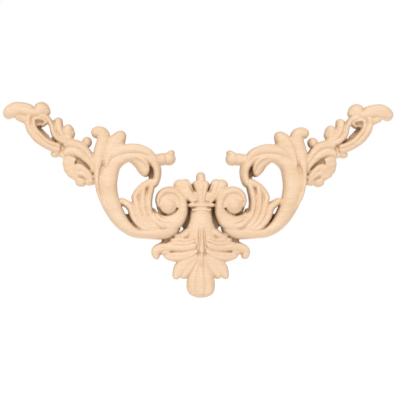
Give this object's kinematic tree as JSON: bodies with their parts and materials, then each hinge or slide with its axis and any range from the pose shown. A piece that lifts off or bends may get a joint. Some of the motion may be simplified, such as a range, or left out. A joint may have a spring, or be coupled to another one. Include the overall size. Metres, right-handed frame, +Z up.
{
  "type": "carved corner onlay",
  "caption": "Carved wooden corner onlay of acanthus scrolls, volutes and a leafy drop, flat at the back, glued to a door, frame or furniture corner.",
  "frame": {"origin": "on the flat back face, on the mirror line, at the middle of the bell-shaped trunk below the crown", "axes": "+Z up along the mirror line from the tongue to the crown, +X across to one arm's tip, +Y into the wall; the carving rises toward -Y"},
  "size_m": [0.2, 0.011, 0.1],
  "materials": {
    "bare_wood": "bare, sanded pale hardwood, unsealed"
  },
  "bodies": {
    "root": {"corner_onlay": "bare_wood"}
  },
  "joints": []
}
